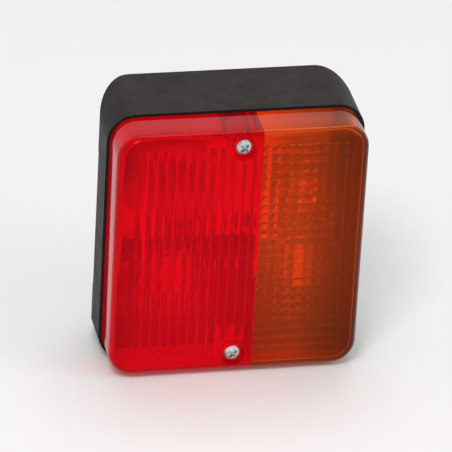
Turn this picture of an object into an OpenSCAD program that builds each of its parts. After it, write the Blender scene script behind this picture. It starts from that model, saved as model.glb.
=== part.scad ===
// Rear combination lamp for a trailer, offside (right-hand) pattern, in millimetres.
// The front faces -Y, +Z is up and the outer side of the vehicle is +X.
// The origin lies on the mounting face, midway between the two mounting bolts.

/* [Housing] */
// Width of the housing
base_w = 98; // [94:1:104]
// Height of the housing
base_h = 105; // [102:1:110]
// Depth of the housing, from the mounting face to its front edge
base_d = 33.5; // [32:0.5:35]
// Radius of the four corners, seen from the front
corner_r = 11; // [9:0.5:13]
// Radius of the inner rear corner, seen from above, which holds the plate window
inner_rear_r = 20; // [19:0.5:21]
// Radius of the outer rear corner, seen from above
outer_rear_r = 20; // [18:0.5:21]
// Rounding of the top and bottom rear edges
rear_edge_r = 2; // [1:0.5:3]
// Thickness of the side walls
wall_t = 3.4; // [3.2:0.1:3.6]
// Thickness of the rear wall
floor_t = 3; // [2.6:0.2:3.4]

/* [Lens] */
// Depth of the whole lamp, from the mounting face to the front of the lens
lamp_d = 50; // [49:0.5:52]
// How far the lens stands inside the outline of the housing
lens_inset = 1.35; // [1.2:0.05:1.8]
// Thickness of the lens walls
lens_t = 2.2; // [1.8:0.1:2.6]
// Rounding of the front edge of the lens
lens_edge_r = 3.6; // [3:0.2:5]
// Distance of the red and amber seam from the centre line
seam_x = 7; // [6.8:0.1:7.4]
// Spacing of the upright optical flutes inside the lens
flute_pitch = 3.6; // [3:0.1:5]
// Height of the flutes
flute_h = 0.8; // [0.5:0.1:1.1]

/* [Fixings] */
// Distance between the two lens screws
screw_span = 88.5; // [87.5:0.5:89]
// Diameter of a lens screw's shank
screw_d = 3.9; // [3.5:0.1:4.2]
// Distance between the two mounting bolts
bolt_span = 45; // [42:1:46]
// Diameter of a mounting bolt
bolt_d = 5; // [4:0.5:5]
// Length of a mounting bolt beyond the mounting face
bolt_out = 20; // [14:1:26]
// Bore of the cable grommet
cable_d = 7; // [5:0.5:8]

/* [Bulbs] */
// Height of both filaments above the centre of the lamp
light_z = 14; // [12:1:16]
// Place of the indicator bulb, outwards from the centre line
indicator_x = 29; // [28:0.5:30]
// Place of the stop and tail bulb, inwards from the centre line
stop_x = -21; // [-23:0.5:-20]
// Diameter of the bulb glass
glass_d = 26; // [24:0.5:26.5]

/* [Hidden] */
$fn = 48;

// Depths, counted forward from the mounting face, so they are negative in Y
y_rim = -base_d;
y_front = -lamp_d;
y_floor = -floor_t;
eps = 0.02;
far = 200;

// Rebate in the rim, with the seal in it and the lens edge on the seal
lip_t = 1.2;
rebate_d = 3.5;
seal_t = 1.4;
y_rebate = y_rim + rebate_d;
y_lens_rear = y_rebate - seal_t;

// Lens form
lens_w = base_w - 2 * lens_inset;
lens_h = base_h - 2 * lens_inset;
lens_r = corner_r - lens_inset;
y_lens_in = y_front + lens_t;
head_pocket_r = 4.4;
head_pocket_d = 3.6;
sleeve_front_r = 5.6;
sleeve_front_d = 6.6;
sleeve_r = 4;
sleeve_bore_r = 2.2;
flute_margin = 6.5;

// Screw towers of the housing
tower_r = 5;
web_half_t = 1;
rib_half_l = 11;
rib_half_t = 0.8;
y_rib = -9;
y_tower = y_rim + 1;
screw_z = screw_span / 2;
y_screw_tip = -12;

// Partition between the two light chambers
partition_t = 1.8;
y_partition = y_lens_in + 1.6;

// Reflector
y_reflector = -13;
reflector_t = 1.5;
reflector_z0 = -12;
reflector_z1 = 48.7;
reflector_x0 = -42;
reflector_x1 = 42;
reflector_r = 7;
partition_drop = 2.6;
stop_bowl = [19, 4.5];
indicator_bowl = [12.5, 4.5];
peg_places = [[-34, 42], [38, 42], [2.2, -6]];
peg_r = 3;
spigot_r = 1.5;
peg_head_r = 2.5;
peg_head_t = 1.4;

// Bulbs: the filament stands this far above the foot of the solder contact
bulb_y = -25;
light_centre = 39;
z_contact = light_z - light_centre;
cap_r = 7.5;
cap_h = 18;
neck_r = 6.9;
glass_t = 0.7;
pin_above_contact = 6.8;
z_pin = z_contact + pin_above_contact;
pin_r = 1;
pin_out = 0.9;
stem_r = 3.5;
foot_r = 6.6;
foot_h = 3;
foot_lift = 1.6;
solder_r = 1.7;
solder_h = 2;
stem_h = 12;
neck_h = 9;
stop_contact_dx = 3.2;

// Sockets and the shelf that carries them
shell_in_r = 7.7;
shell_out_r = 8.3;
slot_w = 2.5;
z_shelf = z_contact + 2;
shelf_t = 3;
z_shelf_top = z_shelf + shelf_t;
shelf_half_w = 12.2;
shelf_play = 0.1;
gusset_dx = 8.5;
gusset_half_t = 0.9;
gusset_h = 13;
y_gusset = -18.3;
y_shelf = -30;
z_shell = z_shelf - 0.6;
z_shell_top = z_contact + 16.5;
earth_t = 0.6;
earth_ring_r = 11.4;
earth_bar_y0 = -17;
earth_bar_y1 = -10.4;

// Terminals
strip_t = 0.5;
y_block = -9;
terminal_z = -43;
pad_w = 7.6;
pad_z0 = -48;
pad_z1 = -37.6;
thread_r = 1.5;
clamp_half_w = 3;
clamp_t = 0.9;
terminal_head_r = 2.9;
terminal_head_h = 1.9;
indicator_terminal_x = indicator_x;
stop_terminal_x = stop_x + 5.5;
tail_terminal_x = stop_x - 5.5;
earth_terminal_x = -37.2;

// Mounting bolts and grommet
boss_r = 8;
boss_d = 6.5;
hex_af = 8;
hex_h = 3.5;
shoulder_r = 2.8;
bolt_clear = 0.1;
bolt_chamfer = 0.6;
grommet_x = -3.2;
grommet_z = -31;
grommet_neck_r = 6.5;
grommet_flange_r = 8.2;
recess_d = 1;
recess_margin = 7;
recess_side = 1.5;
rear_rib_t = 1.8;
rear_rib_z = 16;
rear_rib_x = 10;
drain_r = 1.75;
y_drain = -17;

// Plate window, set out by its angles round the inner rear corner
window_a0 = 116;
window_a1 = 176;
window_half_h = 29;
window_flange_t = 1.1;
window_flange_w = 2;
window_play = 0.1;
corner_centre = [-base_w / 2 + inner_rear_r, -inner_rear_r];

// Extrudes a drawing in X and Z from y0 back to y1
module along_y(y0, y1) {
    translate([0, y1, 0])
        rotate([90, 0, 0])
            linear_extrude(height = y1 - y0)
                children();
}

// Extrudes a drawing in Y and Z from x0 to x1
module along_x(x0, x1) {
    translate([x0, 0, 0])
        rotate([90, 0, 90])
            linear_extrude(height = x1 - x0)
                children();
}

// Extrudes a drawing in X and Y from z0 up to z1
module along_z(z0, z1) {
    translate([0, 0, z0])
        linear_extrude(height = z1 - z0)
            children();
}

// Round bar or hole along Y
module rod_y(x, z, r, y0, y1) {
    translate([x, y1, z])
        rotate([90, 0, 0])
            cylinder(r = r, h = y1 - y0);
}

// Box given by two corners
module block(low, high) {
    translate(low)
        cube(high - low);
}

// Rectangle with four round corners, about the origin
module round_rect(w, h, r) {
    square([w - 2 * r, h], center = true);
    square([w, h - 2 * r], center = true);
    for (sx = [-1, 1], sz = [-1, 1])
        translate([sx * (w / 2 - r), sz * (h / 2 - r)])
            circle(r = r);
}

// Front outline of the housing, drawn in by inset
module front_outline(inset) {
    round_rect(base_w - 2 * inset, base_h - 2 * inset, corner_r - inset);
}

// Ring between two insets of the front outline
module outline_ring(outer, inner) {
    difference() {
        front_outline(outer);
        front_outline(inner);
    }
}

// Plan of the housing: straight at the front, with two large rear corners
module plan_outline(side, rear, y0) {
    half = base_w / 2 - side;
    r_in = inner_rear_r - side;
    r_out = outer_rear_r - side;
    back = -rear;
    difference() {
        translate([-half, y0])
            square([2 * half, back - y0]);
        difference() {
            translate([-half - 1, -inner_rear_r])
                square([inner_rear_r - side + 1, inner_rear_r + 1]);
            translate([-half + r_in, -inner_rear_r])
                circle(r = r_in);
        }
        difference() {
            translate([half - r_out, -outer_rear_r])
                square([r_out + 1, outer_rear_r + 1]);
            translate([half - r_out, -outer_rear_r])
                circle(r = r_out);
        }
    }
}

// Solid form of the housing, drawn in by side at the walls and by rear at the back
module housing_form(side, rear, y0) {
    intersection() {
        along_y(y0, -rear)
            front_outline(side);
        along_z(-far, far)
            plan_outline(side, rear, y0 - 1);
        along_x(-far, far)
            side_outline(side, rear, y0 - 1);
    }
}

// Side view of the housing: straight at the front, with two small rear corners
module side_outline(side, rear, y0) {
    half = base_h / 2 - side;
    r = rear_edge_r;
    translate([y0, -half])
        square([-rear - r - y0, 2 * half]);
    translate([y0, r - half])
        square([-rear - y0, 2 * (half - r)]);
    for (s = [-1, 1])
        translate([-rear - r, s * (half - r)])
            circle(r = r);
}

// Section of a quarter of a turned rim: r wide, from the front edge back, front corner rounded
module rim_section(r, y0, y1, edge) {
    difference() {
        translate([0, y0])
            square([r, y1 - y0]);
        difference() {
            translate([r - edge, y0 - 1])
                square([edge + 1, edge + 1]);
            translate([r - edge, y0 + edge])
                circle(r = edge);
        }
    }
}

// Dish with round corners and a rounded front edge, made of a core, four bars and four turned corners
module dish(w, h, r, y0, y1, edge) {
    cx = w / 2 - r;
    cz = h / 2 - r;
    block([-cx, y0, -cz], [cx, y1, cz]);
    for (s = [0, 1])
        mirror([s, 0, 0])
            translate([cx, 0, -cz])
                linear_extrude(height = 2 * cz)
                    rim_section(r, y0, y1, edge);
    for (s = [0, 1])
        mirror([0, 0, s])
            translate([-cx, 0, cz])
                rotate([0, -90, 180])
                    mirror([0, 1, 0])
                        linear_extrude(height = 2 * cx)
                            rim_section(r, y0, y1, edge);
    for (sx = [0, 1], sz = [0, 1])
        mirror([sx, 0, 0])
            mirror([0, 0, sz])
                translate([cx, 0, cz])
                    rotate([90, 0, 0])
                        mirror([0, 0, 1])
                            rotate_extrude(angle = 90)
                                rim_section(r, y0, y1, edge);
}

// Moulded tray that carries everything: walls, rim rebate, towers, shelf, blocks and pegs
module base_housing() {
    color([0.09, 0.08, 0.08])
        difference() {
            union() {
                difference() {
                    housing_form(0, 0, y_rim);
                    housing_form(wall_t, floor_t, y_rim - 1);
                }
                intersection() {
                    housing_form(0.5, 0.5, -lamp_d);
                    housing_inside();
                }
            }
            along_y(y_rim - 1, y_rebate)
                outline_ring(lip_t, wall_t + 1);
            housing_openings();
        }
}

// Everything that stands up from the floor of the housing
module housing_inside() {
    for (s = [-1, 1])
        screw_tower(s);
    for (x = [-bolt_span / 2, bolt_span / 2])
        rod_y(x, 0, boss_r, -boss_d, y_floor + eps);
    for (p = peg_places)
        reflector_peg(p);
    lower_partition();
    socket_shelf(indicator_x);
    socket_shelf(stop_x);
    for (x = [indicator_terminal_x, stop_terminal_x, tail_terminal_x, earth_terminal_x])
        block([x - pad_w / 2, y_block, pad_z0], [x + pad_w / 2, y_floor + eps, pad_z1]);
}

// Tower for one lens screw, tied to the nearer wall by a web and to the floor by a low rib
module screw_tower(side) {
    rod_y(0, side * screw_z, tower_r, y_tower, y_floor + eps);
    web_z = side * (base_h / 2 - wall_t / 2);
    block([-web_half_t, y_tower, min(side * screw_z, web_z)],
        [web_half_t, y_floor + eps, max(side * screw_z, web_z)]);
    block([-rib_half_l, y_rib, side * screw_z - rib_half_t],
        [rib_half_l, y_floor + eps, side * screw_z + rib_half_t]);
}

// Peg with a headed spigot that passes through the reflector
module reflector_peg(p) {
    rod_y(p[0], p[1], peg_r, y_reflector + reflector_t, y_floor + eps);
    rod_y(p[0], p[1], spigot_r, y_reflector - peg_head_t / 2, y_floor);
    rod_y(p[0], p[1], peg_head_r, y_reflector - peg_head_t, y_reflector);
}

// Partition below the reflector, with its foot clear of the lens
module lower_partition() {
    x0 = seam_x - partition_t / 2;
    x1 = seam_x + partition_t / 2;
    z_top = reflector_z0 - 0.3;
    z_foot = -base_h / 2 + wall_t / 2;
    z_lens_clear = -lens_h / 2 + 2 * lens_t;
    difference() {
        union() {
            block([x0, y_rim + 5, z_foot], [x1, y_floor + eps, z_top]);
            block([x0, y_partition, z_lens_clear], [x1, y_rim + 6, z_top]);
        }
        block([x0 - 1, earth_bar_y0 - 1, z_shelf_top - 0.2],
            [x1 + 1, earth_bar_y1 + 1, z_shelf_top + earth_t + 0.4]);
    }
}

// Shelf for one socket, open to the front, on two gussets
module socket_shelf(x) {
    seat_r = shell_out_r + shelf_play;
    along_z(z_shelf, z_shelf_top)
        difference() {
            translate([x - shelf_half_w, y_shelf])
                square([2 * shelf_half_w, y_floor + eps - y_shelf]);
            translate([x, bulb_y])
                circle(r = seat_r);
            translate([x - seat_r, y_shelf - 1])
                square([2 * seat_r, bulb_y - y_shelf + 1]);
        }
    for (sx = [-1, 1])
        along_x(x + sx * gusset_dx - gusset_half_t, x + sx * gusset_dx + gusset_half_t)
            polygon([[y_floor + eps, z_shelf + eps], [y_floor + eps, z_shelf - gusset_h],
                [y_gusset, z_shelf + eps]]);
}

// All holes, pockets and recesses of the housing
module housing_openings() {
    for (s = [-1, 1])
        rod_y(0, s * screw_z, screw_d / 2, y_tower - 1, y_screw_tip);
    for (x = [-bolt_span / 2, bolt_span / 2])
        bolt_pocket(x);
    rod_y(grommet_x, grommet_z, grommet_neck_r, y_floor - 1, 1);
    rod_y(grommet_x, grommet_z, grommet_flange_r, -recess_d, 1);
    for (x = [indicator_terminal_x, stop_terminal_x, tail_terminal_x, earth_terminal_x])
        rod_y(x, terminal_z, thread_r, y_block - 1, y_floor - 0.5);
    rear_recess();
    window_opening();
    for (x = [stop_x - 4, indicator_x])
        translate([x, y_drain, -far / 2])
            cylinder(r = drain_r, h = far / 2 - base_h / 2 + wall_t + 1);
}

// Hexagon pocket and bore for one mounting bolt
module bolt_pocket(x) {
    rod_y(x, 0, shoulder_r + bolt_clear, -boss_d - 1, 1);
    along_y(-boss_d - 1, hex_h - boss_d)
        translate([x, 0])
            hexagon(hex_af + 2 * bolt_clear);
}

// Hexagon across flats, with a flat on top
module hexagon(af) {
    circle(r = af / sqrt(3), $fn = 6);
}

// Shallow field in the mounting face, with ribs and bosses left flush
module rear_recess() {
    along_y(-recess_d, 1)
        difference() {
            round_rect(base_w - 2 * (inner_rear_r + recess_side), base_h - 2 * recess_margin, 5);
            for (x = [-bolt_span / 2, bolt_span / 2])
                translate([x, 0])
                    circle(r = hex_af / 2 + 6);
            translate([grommet_x, grommet_z])
                circle(r = grommet_flange_r + 2.8);
            for (z = [-rear_rib_z, rear_rib_z])
                translate([0, z])
                    square([base_w, rear_rib_t], center = true);
            for (x = [-rear_rib_x, rear_rib_x])
                translate([x, 0])
                    square([rear_rib_t, base_h], center = true);
        }
}

// Ring sector round the inner rear corner, between two radii and two angles
module corner_sector(r0, r1, a0, a1, half_h) {
    translate([corner_centre[0], corner_centre[1], 0])
        rotate([0, 0, a0])
            rotate_extrude(angle = a1 - a0)
                translate([r0, -half_h])
                    square([r1 - r0, 2 * half_h]);
}

// Opening for the plate window, wider on the inside for its flange
module window_opening() {
    r_mid = inner_rear_r - wall_t + window_flange_t;
    margin = window_flange_w / inner_rear_r * 180 / PI;
    corner_sector(r_mid - 1, inner_rear_r + 1, window_a0, window_a1, window_half_h);
    corner_sector(inner_rear_r - wall_t - 1, r_mid, window_a0 - margin, window_a1 + margin,
        window_half_h + window_flange_w);
}

// Clear window glued in from the inside
module plate_window() {
    r_mid = inner_rear_r - wall_t + window_flange_t;
    margin = window_flange_w / inner_rear_r * 180 / PI;
    play = window_play / inner_rear_r * 180 / PI;
    color([0.93, 0.94, 0.95])
        union() {
            corner_sector(r_mid - window_flange_t / 2, inner_rear_r - 0.1, window_a0 + play,
                window_a1 - play, window_half_h - window_play);
            corner_sector(r_mid - window_flange_t, r_mid, window_a0 - margin + play,
                window_a1 + margin - play, window_half_h + window_flange_w - window_play);
        }
}

// Whole lens before it is cut at the seam
module lens_body() {
    difference() {
        union() {
            difference() {
                dish(lens_w, lens_h, lens_r, y_front, y_lens_rear, lens_edge_r);
                dish(lens_w - 2 * lens_t, lens_h - 2 * lens_t, lens_r - lens_t, y_lens_in, y_lens_rear + 1,
                    lens_edge_r - lens_t);
            }
            lens_flutes();
            lens_sleeves();
        }
        for (s = [-1, 1]) {
            rod_y(0, s * screw_z, head_pocket_r, y_front - 1, y_front + head_pocket_d);
            rod_y(0, s * screw_z, sleeve_bore_r, y_front, y_tower + 1);
        }
    }
}

// Sleeves for the two screws, wider at the front where the heads sink in
module lens_sleeves() {
    intersection() {
        for (s = [-1, 1]) {
            rod_y(0, s * screw_z, sleeve_front_r, y_front + 1, y_front + sleeve_front_d);
            rod_y(0, s * screw_z, sleeve_r, y_front + 1, y_tower);
        }
        along_y(y_front, y_rim + 2)
            round_rect(lens_w - lens_t, lens_h - lens_t, lens_r - lens_t / 2);
    }
}

// Upright flutes on the inside of the front wall, that spread the light sideways
module lens_flutes() {
    count = floor((lens_w / 2 - flute_margin) / flute_pitch);
    flute_r = (flute_pitch * flute_pitch / 4 + flute_h * flute_h) / (2 * flute_h);
    intersection() {
        along_z(-lens_h / 2 + flute_margin, lens_h / 2 - flute_margin)
            for (i = [-count : count])
                intersection() {
                    translate([seam_x + i * flute_pitch, y_lens_in + flute_h - flute_r])
                        circle(r = flute_r);
                    translate([seam_x + (i - 0.5) * flute_pitch, y_lens_in - 0.4])
                        square([flute_pitch, flute_h + 1]);
                }
        along_y(y_front, y_rim)
            round_rect(lens_w - 2 * flute_margin, lens_h - 2 * flute_margin, lens_r - 4);
    }
}

// Red part of the lens, with both screw sleeves
module lens_red() {
    color([0.80, 0.02, 0.06])
        intersection() {
            lens_body();
            block([-far, -far, -far], [seam_x, far, far]);
        }
}

// Amber part of the lens
module lens_amber() {
    color([0.86, 0.34, 0.06])
        intersection() {
            lens_body();
            block([seam_x, -far, -far], [far, far, far]);
        }
}

// Rubber ring in the rebate of the rim
module lens_seal() {
    color([0.06, 0.06, 0.06])
        along_y(y_lens_rear, y_rebate)
            outline_ring(lip_t + 0.05, wall_t - 0.05);
}

// Lens screw: pan head with a cross recess, plain shank and point
module lens_screw(side) {
    y_seat = y_front + head_pocket_d;
    head_h = 2.6;
    cross_l = 4.2;
    cross_d = 1.4;
    cross_w = 0.9;
    color([0.75, 0.76, 0.78])
        difference() {
            translate([0, y_seat, side * screw_z])
                rotate([90, 0, 0])
                    rotate_extrude()
                        lens_screw_section(head_h);
            for (a = [45, 135])
                translate([0, y_seat - head_h, side * screw_z])
                    rotate([0, a, 0])
                        cube([cross_l, 2 * cross_d, cross_w], center = true);
        }
}

// Half section of a lens screw, with the axis upright and the head at the top
module lens_screw_section(head_h) {
    shank_l = y_screw_tip - 1 - y_front - head_pocket_d;
    head_r = 3.5;
    crown_r = 1.2;
    point_l = 2.4;
    difference() {
        polygon([[0, -shank_l], [screw_d / 2, point_l - shank_l], [screw_d / 2, 0], [head_r, 0],
            [head_r, head_h], [0, head_h]]);
        translate([head_r - crown_r, head_h - crown_r])
            difference() {
                square([2, 2]);
                circle(r = crown_r);
            }
    }
}

module lens_screw_upper() {
    lens_screw(1);
}

module lens_screw_lower() {
    lens_screw(-1);
}

// Metallised plate with a bowl behind each bulb and a partition between the chambers
module reflector() {
    color([0.86, 0.87, 0.89])
        difference() {
            union() {
                along_y(y_reflector, y_reflector + reflector_t)
                    reflector_outline();
                reflector_bowl(stop_x, stop_bowl, reflector_t);
                reflector_bowl(indicator_x, indicator_bowl, reflector_t);
                block([seam_x - partition_t / 2, y_partition, reflector_z0],
                    [seam_x + partition_t / 2, y_reflector + 0.5, reflector_z1 - partition_drop]);
            }
            reflector_bowl(stop_x, stop_bowl, 0);
            reflector_bowl(indicator_x, indicator_bowl, 0);
            rod_y(0, screw_z, tower_r + 0.3, -far, 0);
            block([-web_half_t - 0.3, -far, screw_z], [web_half_t + 0.3, 0, far]);
            for (p = peg_places)
                rod_y(p[0], p[1], spigot_r, -far, 0);
        }
}

// Front outline of the reflector
module reflector_outline() {
    translate([(reflector_x0 + reflector_x1) / 2, (reflector_z0 + reflector_z1) / 2])
        round_rect(reflector_x1 - reflector_x0, reflector_z1 - reflector_z0, reflector_r);
}

// Part of a ball, mouth radius and depth in size, cut off at the front face of the plate
module reflector_bowl(x, size, skin) {
    ball_r = (size[0] * size[0] + size[1] * size[1]) / (2 * size[1]);
    y_ball = y_reflector + size[1] - ball_r;
    translate([x, y_ball, light_z])
        rotate([-90, 0, 0])
            rotate_extrude()
                intersection() {
                    circle(r = ball_r + skin);
                    translate([0, y_reflector - y_ball - (skin > 0 ? 0 : 1)])
                        square([ball_r + skin, ball_r]);
                }
}

// Bayonet shell: tube with a rolled mouth, a bead, a foot flange and two hooked slots
module socket_shell(x, pin_drops) {
    color([0.80, 0.79, 0.74])
        translate([x, bulb_y, 0])
            difference() {
                rotate_extrude()
                    shell_section();
                for (i = [0, 1])
                    rotate([0, 0, 180 * i])
                        hooked_slot(z_pin + pin_r - slot_w / 2 - pin_drops[i]);
            }
}

// Half section of a bayonet shell
module shell_section() {
    foot_flange_w = 2.2;
    mouth_w = 1.6;
    bead_w = 1.3;
    bead_h = 0.7;
    translate([shell_in_r, z_shell])
        square([shell_out_r - shell_in_r, z_shell_top - z_shell]);
    translate([shell_in_r, z_shell])
        square([foot_flange_w, z_shelf - z_shell]);
    translate([shell_in_r, z_shell_top - bead_h])
        square([mouth_w, bead_h]);
    translate([shell_in_r, z_shelf_top + earth_t])
        square([bead_w, bead_h]);
}

// Slot for one bayonet pin: straight down from the mouth, then sideways to just past the pin
module hooked_slot(z_seat) {
    turn = 26;
    past = 9;
    rotate([0, 0, -turn])
        block([shell_in_r - 1, -slot_w / 2, z_seat - slot_w / 2], [shell_out_r + 2.3, slot_w / 2, far]);
    rotate([0, 0, -turn])
        rotate_extrude(angle = turn + past)
            translate([shell_in_r - 0.8, z_seat - slot_w / 2])
                square([shell_out_r - shell_in_r + 2.9, slot_w]);
}

module indicator_socket() {
    socket_shell(indicator_x, [0, 0]);
}

module stop_tail_socket() {
    socket_shell(stop_x, [0, -1.5]);
}

// Brass leaf: pad under the terminal screw, leg up behind the shelf, arm to the bulb's contact
module contact_leaf(pad_x, arm_x, touch_x, arm_w) {
    y_back = y_block;
    z_arm = z_contact - 0.6;
    y_tip = bulb_y - 3.5;
    bend = 1.6;
    taper = 3;
    dimple_r = 1.5;
    color([0.82, 0.66, 0.32])
        difference() {
            union() {
                along_y(y_back - strip_t, y_back)
                    polygon([[pad_x - pad_w / 2, pad_z0], [pad_x + pad_w / 2, pad_z0],
                        [pad_x + pad_w / 2, pad_z1], [arm_x + arm_w / 2, pad_z1 + taper],
                        [arm_x + arm_w / 2, z_arm - bend], [arm_x - arm_w / 2, z_arm - bend],
                        [arm_x - arm_w / 2, pad_z1 + taper], [pad_x - pad_w / 2, pad_z1]]);
                along_x(arm_x - arm_w / 2, arm_x + arm_w / 2)
                    leaf_bend(y_back, z_arm, bend);
                along_z(z_arm - strip_t, z_arm)
                    translate([arm_x - arm_w / 2, y_tip])
                        square([arm_w, y_back - bend - y_tip]);
                translate([touch_x, bulb_y, z_arm - strip_t / 2])
                    cylinder(r = dimple_r, h = z_contact - z_arm + strip_t / 2);
            }
            rod_y(pad_x, terminal_z, thread_r, y_back - 2, y_back + 1);
        }
}

// Quarter bend of a leaf, drawn in Y and Z
module leaf_bend(y_back, z_arm, bend) {
    translate([y_back - bend, z_arm - bend])
        intersection() {
            difference() {
                circle(r = bend);
                circle(r = bend - strip_t);
            }
            square([bend, bend]);
        }
}

module indicator_contact() {
    contact_leaf(indicator_terminal_x, indicator_x, indicator_x, 6);
}

module stop_contact() {
    contact_leaf(stop_terminal_x, stop_x + 3.9, stop_x + stop_contact_dx, 5.2);
}

module tail_contact() {
    contact_leaf(tail_terminal_x, stop_x - 3.9, stop_x - stop_contact_dx, 5.2);
}

// Steel strip on the shelves: a ring round each socket, a bar between them and a leg to the terminal
module earth_strip() {
    leg_x0 = earth_terminal_x - pad_w / 2;
    leg_x1 = earth_terminal_x + pad_w / 2;
    color([0.72, 0.74, 0.76])
        difference() {
            union() {
                along_z(z_shelf_top, z_shelf_top + earth_t)
                    difference() {
                        union() {
                            for (x = [indicator_x, stop_x])
                                translate([x, bulb_y])
                                    circle(r = earth_ring_r);
                            translate([leg_x0, earth_bar_y0])
                                square([indicator_x - leg_x0, earth_bar_y1 - earth_bar_y0]);
                            translate([leg_x0, earth_bar_y1 - 0.1])
                                square([pad_w, y_block - earth_bar_y1 + 0.1]);
                        }
                        for (x = [indicator_x, stop_x])
                            translate([x, bulb_y])
                                circle(r = shell_out_r);
                    }
                along_y(y_block - strip_t, y_block)
                    translate([leg_x0, pad_z0])
                        square([leg_x1 - leg_x0, z_shelf_top + earth_t - pad_z0]);
            }
            rod_y(earth_terminal_x, terminal_z, thread_r, y_block - 2, y_block + 1);
        }
}

// Terminal screw with a slotted pan head and a square clamp plate under it
module terminal_screw(x) {
    y_plate = y_block - strip_t;
    y_head = y_plate - clamp_t;
    slot_half_w = 0.45;
    slot_d = 1;
    color([0.78, 0.74, 0.60])
        difference() {
            union() {
                block([x - clamp_half_w, y_head, terminal_z - clamp_half_w],
                    [x + clamp_half_w, y_plate, terminal_z + clamp_half_w]);
                rod_y(x, terminal_z, terminal_head_r, y_head - terminal_head_h, y_head);
                rod_y(x, terminal_z, thread_r, y_plate - 0.5, y_floor - 0.8);
            }
            block([x - 4, y_head - 3, terminal_z - slot_half_w],
                [x + 4, y_head - terminal_head_h + slot_d, terminal_z + slot_half_w]);
        }
}

module terminal_screw_indicator() {
    terminal_screw(indicator_terminal_x);
}

module terminal_screw_stop() {
    terminal_screw(stop_terminal_x);
}

module terminal_screw_tail() {
    terminal_screw(tail_terminal_x);
}

module terminal_screw_earth() {
    terminal_screw(earth_terminal_x);
}

// Half section of the bulb glass, solid, drawn in by inset
module glass_section(inset) {
    ball_r = glass_d / 2 - inset;
    z_neck = z_contact + neck_h + inset;
    intersection() {
        union() {
            translate([0, light_z])
                circle(r = ball_r);
            translate([0, z_neck])
                square([neck_r - inset, light_z - z_neck]);
        }
        translate([0, z_neck])
            square([far, far]);
    }
}

// Blown glass on its stem
module bulb_glass(x) {
    color([0.92, 0.94, 0.95])
        translate([x, bulb_y, 0])
            union() {
                rotate_extrude()
                    difference() {
                        glass_section(0);
                        glass_section(glass_t);
                    }
                translate([0, 0, z_contact + neck_h])
                    cylinder(r = stem_r, h = stem_h);
            }
}

// Brass cap with its two pins
module bulb_cap(x, pin_drops) {
    z0 = z_contact + foot_lift;
    color([0.80, 0.72, 0.50])
        translate([x, bulb_y, 0])
            difference() {
                union() {
                    translate([0, 0, z0])
                        cylinder(r = cap_r, h = cap_h - foot_lift);
                    for (i = [0, 1])
                        rotate([0, 0, 180 * i])
                            translate([cap_r - 1, 0, z_pin - pin_drops[i]])
                                rotate([0, 90, 0])
                                    cylinder(r = pin_r, h = 1 + pin_out);
                }
                translate([0, 0, z_contact + neck_h])
                    cylinder(r = neck_r, h = cap_h);
                translate([0, 0, z0 - 1])
                    cylinder(r = foot_r, h = foot_h + 1);
            }
}

// Black glass foot inside the cap
module bulb_insulator(x, contact_xs) {
    bevel_h = 0.9;
    color([0.05, 0.05, 0.06])
        translate([x, bulb_y, 0])
            difference() {
                union() {
                    translate([0, 0, z_contact + foot_lift])
                        cylinder(r = foot_r, h = foot_h);
                    translate([0, 0, z_contact + foot_lift - bevel_h])
                        cylinder(r1 = foot_r - 1.4, r2 = foot_r - 0.4, h = bevel_h);
                }
                for (cx = contact_xs)
                    translate([cx, 0, z_contact - 1])
                        cylinder(r = solder_r, h = solder_h + 1);
            }
}

// Solder contacts in the foot
module bulb_contacts(x, contact_xs) {
    color([0.70, 0.71, 0.72])
        for (cx = contact_xs)
            translate([x + cx, bulb_y, z_contact])
                cylinder(r = solder_r, h = solder_h);
}

// Filament coils on their supports; each entry is the coil's height and its place in Y
module bulb_filaments(x, coils) {
    half_l = 2.8;
    wire_r = 0.3;
    z_stem = z_contact + neck_h + stem_h;
    color([0.55, 0.55, 0.57])
        for (c = coils) {
            translate([x - half_l - 0.3, c[1], c[0]])
                rotate([0, 90, 0])
                    rotate_extrude()
                        coil_section(2 * half_l + 0.6);
            for (sx = [-1, 1])
                translate([x + sx * half_l, c[1], z_stem])
                    cylinder(r = wire_r, h = c[0] - z_stem);
        }
}

// Half section of a coil, with a ridge for each turn
module coil_section(length) {
    turns = 7;
    step = length / turns;
    ridges = [for (i = [0 : 2 * turns]) [i % 2 == 0 ? 0.42 : 0.62, i * step / 2]];
    polygon(concat([[0, 0]], ridges, [[0, length]]));
}

module indicator_bulb_glass() {
    bulb_glass(indicator_x);
}

module indicator_bulb_cap() {
    bulb_cap(indicator_x, [0, 0]);
}

module indicator_bulb_insulator() {
    bulb_insulator(indicator_x, [0]);
}

module indicator_bulb_contact() {
    bulb_contacts(indicator_x, [0]);
}

module indicator_bulb_filament() {
    bulb_filaments(indicator_x, [[light_z, bulb_y]]);
}

module stop_tail_bulb_glass() {
    bulb_glass(stop_x);
}

module stop_tail_bulb_cap() {
    bulb_cap(stop_x, [0, -1.5]);
}

module stop_tail_bulb_insulator() {
    bulb_insulator(stop_x, [-stop_contact_dx, stop_contact_dx]);
}

module stop_tail_bulb_contacts() {
    bulb_contacts(stop_x, [-stop_contact_dx, stop_contact_dx]);
}

module stop_tail_bulb_filaments() {
    bulb_filaments(stop_x, [[light_z, bulb_y - 1.3], [light_z - 4, bulb_y + 1.3]]);
}

// Hexagon-headed bolt: head and shoulder in the housing, shank out of the back
module mounting_bolt(x) {
    color([0.76, 0.77, 0.74])
        union() {
            along_y(-boss_d, hex_h - boss_d)
                translate([x, 0])
                    hexagon(hex_af);
            rod_y(x, 0, shoulder_r, hex_h - boss_d - 0.5, 0);
            rod_y(x, 0, bolt_d / 2, -0.5, bolt_out - bolt_chamfer);
            translate([x, bolt_out - bolt_chamfer, 0])
                rotate([-90, 0, 0])
                    cylinder(r1 = bolt_d / 2, r2 = bolt_d / 2 - bolt_chamfer, h = bolt_chamfer);
        }
}

module mounting_bolt_left() {
    mounting_bolt(-bolt_span / 2);
}

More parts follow.
